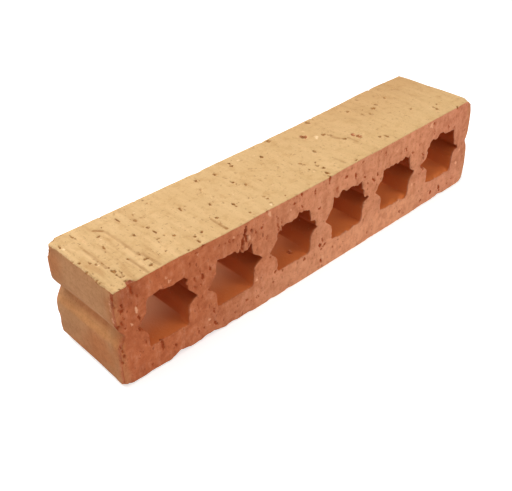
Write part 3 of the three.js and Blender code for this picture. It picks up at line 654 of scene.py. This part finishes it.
# --- marks on the sides that lie away
def in_solid_clay(across, along, room):
    """True where a cut face has no core within this much room of a point."""
    for centre in CORE_CENTRES:
        beside = abs(across - centre) - room
        if beside < CORE_HALF_WIDTH and CORE_FLOOR - room < along < CORE_ROOF + room:
            return False
        if beside < CORE_HALF_WIDTH + NOTCH_DEPTH and abs(along - SPLIT_HEIGHT) < NOTCH_HALF_HEIGHT + room:
            return False
    return True


def scattered_marks(rng, count, half_width, low, high, lean, solid=False):
    """Marks strewn over a face, most of them small."""
    marks = []
    while len(marks) < count:
        across = rng.uniform(-half_width, half_width)
        along = rng.uniform(low, high)
        length = 1.4 + 3.2 * rng.random() ** 3
        width = max(1.1, length * rng.uniform(0.35, 0.9))
        if solid and not in_solid_clay(across, along, 1.2):
            continue
        dark = rng.uniform(0.35, 1)
        marks.append(Mark(across, along, length, width, dark, lean + rng.uniform(-9, 9)))
    return marks


def scattered_burrs(rng):
    """Burrs that the wire leaves hanging from the upper rim of each core on the back."""
    burrs = []
    for centre in CORE_CENTRES:
        for place in (-8, -2.5, 2.5, 8):
            across = centre + place + rng.uniform(-2, 2)
            reach = rng.uniform(1.8, 3.4)
            sideways = rng.uniform(-0.2, 0.3)
            burrs.append(Tug(across, CORE_ROOF - 0.1, reach, rng.uniform(-2.4, 0.4), sideways))
        burrs.append(Tug(centre + rng.uniform(-8, 8), CORE_FLOOR, 3.4, rng.uniform(-0.9, -0.3)))
    return burrs


def spots_of(face, marks, room=0.5):
    """Spots along every mark."""
    spots = []
    for mark in marks:
        turn = math.radians(mark.lean)
        half = max(0, mark.length - mark.width) / 2
        for share in (-1, -0.33, 0.33, 1):
            across = mark.across - math.sin(turn) * half * share
            along = mark.along + math.cos(turn) * half * share
            spots.append((face, across, along, mark.width / 2 + room))
    return spots


def spots_along(face, scratches):
    """Spots along every scratch."""
    spots = []
    for scratch in scratches:
        for (across, along), (to_across, to_along) in zip(scratch.points, scratch.points[1:]):
            steps = math.ceil(math.hypot(to_across - across, to_along - along) / BUSY_CUBE)
            for step in range(steps + 1):
                share = step / steps
                spot = (across + (to_across - across) * share, along + (to_along - along) * share)
                spots.append((face, *spot, scratch.width * 0.7))
    return spots


def add_object(name, data):
    item = bpy.data.objects.new(name, data)
    bpy.context.scene.collection.objects.link(item)
    return item


def mesh_object(name, mesh):
    data = bpy.data.meshes.new(name)
    mesh.to_mesh(data)
    mesh.free()
    return add_object(name, data)


def make_brick():
    rng = random.Random(7)
    back_pits = scattered_marks(rng, 110, HALF_LENGTH - 3, 3, HEIGHT - 2, -WIRE_LEAN, solid=True)
    back_specks = scattered_marks(rng, 22, HALF_LENGTH - 3, 3, HEIGHT - 2, -WIRE_LEAN, solid=True)
    tugs = [(FRONT, tug) for tug in FRONT_TUGS] + [(BACK, tug) for tug in scattered_burrs(rng)]
    underside_pits = scattered_marks(rng, 60, HALF_LENGTH - 4, -HALF_DEPTH + 2, HALF_DEPTH - 2, 0)
    far_pits = scattered_marks(rng, 14, HALF_DEPTH - 3, 3, HEIGHT - 3, 60)
    near_pits = scattered_marks(rng, 7, HALF_DEPTH - 6, 3, HEIGHT - 6, 60)

    mesh = die_section(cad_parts["brick"])
    divide_section(mesh)
    push_through_die(mesh)
    refine(mesh, lambda first, second: min(first.z, second.z) > (HEIGHT - 0.01) * MM, FACE_CELL)
    refine(mesh, lambda first, second: max(first.z, second.z) < 0.01 * MM, UNDERSIDE_CELL)
    spots = spots_of(TOP, TOP_PITS + TOP_CHIPS + TOP_PALE_SPECKS)
    spots += spots_of(FRONT, FRONT_PITS + FRONT_PALE_SPECKS + FRONT_GASHES)
    spots += spots_of(CORE_BED, CORE_BED_DRAGS + CORE_BED_RIDGES)
    refine_at(mesh, spots, FEATURE_CELL)
    refine_at(mesh, spots_along(TOP, TOP_SCRATCHES), SCRATCH_CELL)
    spots = spots_of(BACK, back_pits) + spots_of(UNDERSIDE, underside_pits)
    spots += [(face, tug.across, tug.along, tug.reach) for face, tug in tugs]
    refine_at(mesh, spots, TORN_CELL)
    bend(mesh)

    clay = Clay(mesh)
    find_finishes(clay)
    tint_ends(clay)
    for face, rows in SWELLINGS:
        for row in rows:
            clay.tug(face, Swelling(*row), torn=0.0)
    for scratch in TOP_SCRATCHES:
        clay.scratch(TOP, scratch, 0.3)
    # a face, its marks, how deep they go, the finish that shows in them, and how ragged they are
    for face, marks, deep, name, ragged in (
        (TOP, TOP_PITS, 0.5, "hollow", 0.6),
        (TOP, TOP_CHIPS, 0.6, "torn", 0.6),
        (TOP, dimmed(TOP_CHIPS, 0.6), 0, "hollow", 0.6),
        (TOP, TOP_PALE_SPECKS, -0.1, "pale", 0.5),
        (FRONT, FRONT_PITS, 0.6, "hollow", 0.6),
        (FRONT, FRONT_GASHES, 1.2, "hollow", 0.5),
        (FRONT, FRONT_PALE_SPECKS, -0.1, "pale", 0.5),
        (CORE_BED, CORE_BED_DRAGS, 0.7, "hollow", 0.4),
        # the ridge's pale is a painted highlight
        (CORE_BED, CORE_BED_RIDGES, -0.5, "pale", 0.4),
        (BACK, back_pits, 0.9, "hollow", 0.45),
        (BACK, back_specks, -0.2, "pale", 0.3),
        (UNDERSIDE, underside_pits, 0.7, "hollow", 0.45),
        (NEAR_END, NEAR_END_PALE_SPECKS, 0, "pale", 0.6),
        (FAR_END, dimmed(far_pits, 0.5), 0.4, "hollow", 0.45),
        (NEAR_END, dimmed(near_pits, 0.5), 0.4, "hollow", 0.45),
    ):
        for mark in marks:
            clay.press(face, mark, deep, name, ragged)
    for face, tug in tugs:
        clay.tug(face, tug)
    clay.lose_edge(FRONT, UNDERSIDE, FRONT_LOWER_LOSS)
    clay.lose_edge(BACK, UNDERSIDE, BACK_LOWER_LOSS)
    clay.lose_edge(FRONT, TOP, FRONT_UPPER_LOSS, 1.25, 0.65)
    clay.lose_edge(BACK, TOP, BACK_UPPER_LOSS, 0.35, 0.5)
    roughen(clay)
    for vert, place, move in zip(mesh.verts, clay.rest, clay.move):
        vert.co = place + move
        vert.co.z = max(0.0, vert.co.z)

    brick = mesh_object("engobed_brick", mesh)
    for name, values in clay.finish.items():
        brick.data.attributes.new(name, "FLOAT", "POINT").data.foreach_set("value", values)
    brick.data.shade_smooth()
    return brick


# --- colours and materials
def colour(*shown):
    """A colour given as it shows, 10 to 255, in the linear values of the shader."""
    return (*(((value / 255 + 0.055) / 1.055) ** 2.4 for value in shown), 1.0)


def set_sockets(node, sockets):
    """Gives each socket, by its name or place, a value or a link from another socket."""
    for name, value in sockets.items():
        if isinstance(value, bpy.types.NodeSocket):
            node.id_data.links.new(value, node.inputs[name])
        else:
            node.inputs[name].default_value = value


def add_node(tree, kind, sockets, **settings):
    node = tree.nodes.new("ShaderNode" + kind)
    for name, value in settings.items():
        setattr(node, name, value)
    set_sockets(node, sockets)
    return node.outputs


# Each of these adds its node to the tree that its first socket is in
def mapped(vector, scale, turn=(0, 0, 0)):
    return add_node(vector.id_data, "Mapping", {"Vector": vector, "Scale": scale, "Rotation": turn})["Vector"]


def grain(vector, scale, detail=3.0, roughness=0.55):
    sockets = {"Vector": vector, "Scale": scale, "Detail": detail, "Roughness": roughness}
    return add_node(vector.id_data, "TexNoise", sockets)["Fac"]


def ramp(value, low, high, to_low=0.0, to_high=1.0):
    """The value mapped from low..high to to_low..to_high, with an S curve between."""
    sockets = {"Value": value, "From Min": low, "From Max": high, "To Min": to_low, "To Max": to_high}
    return add_node(value.id_data, "MapRange", sockets, interpolation_type="SMOOTHSTEP")["Result"]


def combined(kind, first, second):
    return add_node(first.id_data, "Math", {0: first, 1: second}, operation=kind)["Value"]


def times(first, second):
    return combined("MULTIPLY", first, second)


def blended(share, first, second, kind="MIX"):
    """Two colours, each a socket or as it shows, mixed by a share."""
    first, second = (colour(*side) if isinstance(side, tuple) else side for side in (first, second))
    sockets = {0: share, 6: first, 7: second}
    return add_node(share.id_data, "Mix", sockets, data_type="RGBA", blend_type=kind)[2]


def layered(base, layers):
    """Lays colours over a base. Each layer is a share, a colour and, for a SHADE, that it darkens."""
    for share, tint, *kind in layers:
        base = blended(share, base, tint, *kind)
    return base


def frayed(finish, edge, low, high):
    """A finish whose edge the grain of the clay breaks up."""
    broken = times(combined("SUBTRACT", edge, 0.5), 1.8)
    return ramp(combined("ADD", finish, broken), low, high)


def clay_grains(place):
    """The clay's grains from broad to fine, and the streaks of the wire and the die."""
    wire_lean = (0, math.radians(WIRE_LEAN), 0)
    return Grains(
        clouds=grain(place, 45),
        mottle=grain(place, 240, 3, 0.6),
        fine=grain(place, 900, 4, 0.7),
        edge=grain(place, 800, 3, 0.65),
        streaks=grain(mapped(place, (1, 1, 0.35), wire_lean), 380, 4, 0.6),
        pocks=grain(mapped(place, (1, 1, 0.5), wire_lean), 480, 2, 0.5),
        lines=grain(mapped(place, (1, 0.14, 1)), 260, 3, 0.6),
    )


def red_body(grains, x, z):
    """Red clay, paler towards the far end, with clouds, wire streaks and pocks, and painted light on its low
    band.
    """
    # the clay paler towards the far end
    towards_far_end = ramp(x, -0.1, 0.01)
    return layered(blended(towards_far_end, (197, 109, 66), (217, 143, 103)), [
        # painted light: the low band paler, most towards the far end, standing in for light bounced up from
        # the floor
        (times(ramp(z, 0.008, 0.022, 0.9, 0), towards_far_end), (232, 160, 118)),
        (times(ramp(x, -0.105, -0.12), ramp(z, 0.038, 0.05)), (178, 96, 58)),
        (ramp(x, 0.072, 0.1), (245, 237, 239), SHADE),
        (ramp(grains.clouds, 0.35, 0.65, 0.3, 0), (220, 214, 210), SHADE),
        (ramp(grains.mottle, 0.36, 0.56, 0.6, 0), (228, 210, 198), SHADE),
        (ramp(grains.mottle, 0.54, 0.7, 0, 0.2), (236, 168, 132)),
        (ramp(grains.streaks, 0.3, 0.5, 0.3, 0), (216, 198, 186), SHADE),
        (ramp(grains.streaks, 0.5, 0.75, 0, 0.2), (236, 172, 136)),
        (ramp(grains.fine, 0.3, 0.45, 0.5, 0), (196, 164, 150), SHADE),
        (ramp(grains.pocks, 0.28, 0.36, 0.75, 0), (186, 150, 132), SHADE),
    ])


def buff_engobe(grains, place, x, y):
    """The thin buff skin, drawn into lines by the die, rubbed and flecked most near the near end."""
    near_end = ramp(x, -0.12, -0.05, 1, 0)
    specks = grain(place, 1100, 3, 0.7)
    flecks = ramp(grain(mapped(place, (1, 0.5, 1)), 520, 2, 0.6), 0.27, 0.33, 1, 0)
    plain = blended(ramp(grains.lines, 0.3, 0.7), (214, 175, 122), (222, 183, 130))
    return layered(plain, [
        (ramp(grains.clouds, 0.35, 0.65, 0.35, 0), (244, 238, 226), SHADE),
        # painted shade: the top darker towards the far end and the back
        (times(ramp(x, -0.02, 0.1), ramp(y, -0.02, 0.022)), (242, 234, 228), SHADE),
        (ramp(grains.lines, 0.28, 0.38, 0.2, 0), (190, 140, 88)),
        (times(ramp(grains.lines, 0.34, 0.5, 0.55, 0), near_end), (196, 148, 94)),
        (times(ramp(grains.lines, 0.54, 0.66, 0, 0.5), near_end), (232, 192, 138)),
        (ramp(specks, 0.3, 0.42, 0.5, 0), (176, 130, 82)),
        (times(flecks, ramp(x, -0.11, -0.03, 0.9, 0.45)), (150, 102, 56)),
        (ramp(grains.mottle, 0.34, 0.5, 0.5, 0), (238, 228, 214), SHADE),
        (ramp(grains.pocks, 0.28, 0.37, 0.6, 0), (182, 138, 88)),
    ])


def end_skin(grains, finish):
    """The tan skin that the die leaves on the ends, redder in places, with painted shade and a painted
    highlight along the groove.
    """
    tan = blended(ramp(grains.clouds, 0.35, 0.65), (190, 134, 88), (200, 144, 97))
    return layered(tan, [
        (times(finish["flushed"], 0.8), (190, 104, 50)),
        # painted highlight on the groove's lower flank
        (times(finish["golden"], 0.85), (216, 150, 92)),
        (ramp(grains.lines, 0.3, 0.45, 0.25, 0), (170, 112, 70)),
        (ramp(grains.fine, 0.3, 0.5, 0.5, 0), (214, 196, 182), SHADE),
        (ramp(grains.mottle, 0.35, 0.6, 0.4, 0), (226, 212, 202), SHADE),
    ])


def core_wall(finish):
    # The walls' own colour, with painted shade high and deep in the cores and a painted pale sheen of light
    # deep on their floors
    bore = blended(finish["scorched"], (209, 111, 51), (162, 66, 14))
    return blended(finish["ashen"], bore, (210, 140, 99))


def fired_clay_material():
    material = bpy.data.materials.new("buff engobe on red clay")
    material.use_nodes = True
    tree = material.node_tree
    place = add_node(tree, "TexCoord", {})["Object"]
    x, y, z = add_node(tree, "SeparateXYZ", {"Vector": place})
    finish = {name: add_node(tree, "Attribute", {}, attribute_name=name)["Fac"] for name in FINISHES}
    buff = finish["buff"]
    grains = clay_grains(place)

    base = blended(finish["skin"], red_body(grains, x, z), end_skin(grains, finish))
    base = blended(finish["bore"], base, core_wall(finish))
    base = blended(frayed(buff, grains.edge, 0.4, 0.6), base, buff_engobe(grains, place, x, y))
    torn = blended(ramp(grains.fine, 0.35, 0.65), (172, 96, 64), (204, 126, 90))
    base = blended(times(frayed(finish["torn"], grains.edge, 0.2, 0.6), buff), base, torn)
    base = blended(times(finish["scratched"], 0.9), base, (156, 104, 52))
    in_buff = blended(ramp(grains.fine, 0.38, 0.62), (124, 76, 34), (178, 126, 70))
    hollow = blended(buff, (158, 68, 27), in_buff)
    base = blended(frayed(finish["hollow"], grains.edge, 0.2, 0.8), base, hollow)
    # pale specks, and the painted highlights along the cores' floor rims and on the floor ridge
    pale = blended(buff, (232, 168, 128), (250, 214, 166))
    base = blended(frayed(finish["pale"], grains.edge, 0.15, 0.95), base, pale)

    height = combined("ADD", grains.fine, times(grains.streaks, 0.4))
    bump = {"Strength": 1.0, "Distance": 0.14 * MM, "Height": height}
    set_sockets(tree.nodes["Principled BSDF"], {
        "Base Color": base,
        "Normal": add_node(tree, "Bump", bump)["Normal"],
        "Roughness": 0.9,
        "Specular IOR Level": 0.25,
    })
    return material


# --- studio
CAMERA_PLACE = Vector((-0.2559, -0.2536, 0.2581 + BOW * MM))
CAMERA_AIM = Vector((-0.03507, -0.01395, 0.02613 + BOW * MM))
CAMERA_ROLL = -1.295
CAMERA_LENS = 57.49
WORLD_LIGHT = 0.21
FLOOR_GLOW = 0.55
# Square soft lamps that face the brick: place, size and power
LAMPS = {
    "overhead": ((-0.3, 0, 0.9), 0.7, 3.75),
    "front right": ((0.5, -0.7, 0.45), 0.5, 2.8),
    "front low": ((0.35, -0.8, 0.2), 0.6, 1.8),
    "behind": ((-0.12, 0.74, 0.46), 0.5, 6.2),
    "near end": ((-0.8, -0.1, 0.3), 0.4, 0.25),
}


def make_camera():
    data = bpy.data.cameras.new("camera")
    data.lens = CAMERA_LENS
    data.clip_start = 0.01
    camera = add_object("camera", data)
    camera.location = CAMERA_PLACE
    look = (CAMERA_AIM - CAMERA_PLACE).to_track_quat("-Z", "Y")
    camera.rotation_euler = (look @ Quaternion(Z, math.radians(CAMERA_ROLL))).to_euler()
    bpy.context.scene.camera = camera


def make_lamps():
    for name, (place, size, power) in LAMPS.items():
        data = bpy.data.lights.new(name, "AREA")
        data.size = size
        data.energy = power
        lamp = add_object(name, data)
        lamp.location = place
        lamp.rotation_euler = (-Vector(place)).to_track_quat("-Z", "Y").to_euler()


def seen_by_camera(tree):
    path = add_node(tree, "LightPath", {})
    seen = combined("MAXIMUM", path["Is Camera Ray"], path["Is Glossy Ray"])
    return combined("MAXIMUM", seen, path["Is Transmission Ray"])


def make_world():
    world = bpy.data.worlds.new("white room")
    world.use_nodes = True
    strength = ramp(seen_by_camera(world.node_tree), 0, 1, WORLD_LIGHT, 1.0)
    set_sockets(world.node_tree.nodes["Background"], {"Color": (1, 1, 1, 1), "Strength": strength})
    bpy.context.scene.world = world


def make_floor():
    mesh = bmesh.new()
    bmesh.ops.create_grid(mesh, x_segments=1, y_segments=1, size=3)
    floor = mesh_object("floor", mesh)
    material = bpy.data.materials.new("white table")
    material.use_nodes = True
    tree = material.node_tree
    place = add_node(tree, "TexCoord", {})["Object"]
    away = add_node(tree, "VectorMath", {0: place}, operation="LENGTH")["Value"]
    # it shows white beside the brick, where the lamps add to it, and further away by itself
    glow = ramp(away, 0.5, 1.5, FLOOR_GLOW, 1.0)
    set_sockets(tree.nodes["Principled BSDF"], {
        "Base Color": (0.8, 0.8, 0.8, 1),
        "Roughness": 0.9,
        "Emission Color": (1, 1, 1, 1),
        "Emission Strength": times(seen_by_camera(tree), glow),
    })
    floor.data.materials.append(material)


make_camera()
make_world()
make_floor()
make_lamps()

brick = make_brick()
brick.data.materials.append(fired_clay_material())
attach(brick, "root")
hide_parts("brick")

bpy.context.scene.view_settings.view_transform = "Standard"
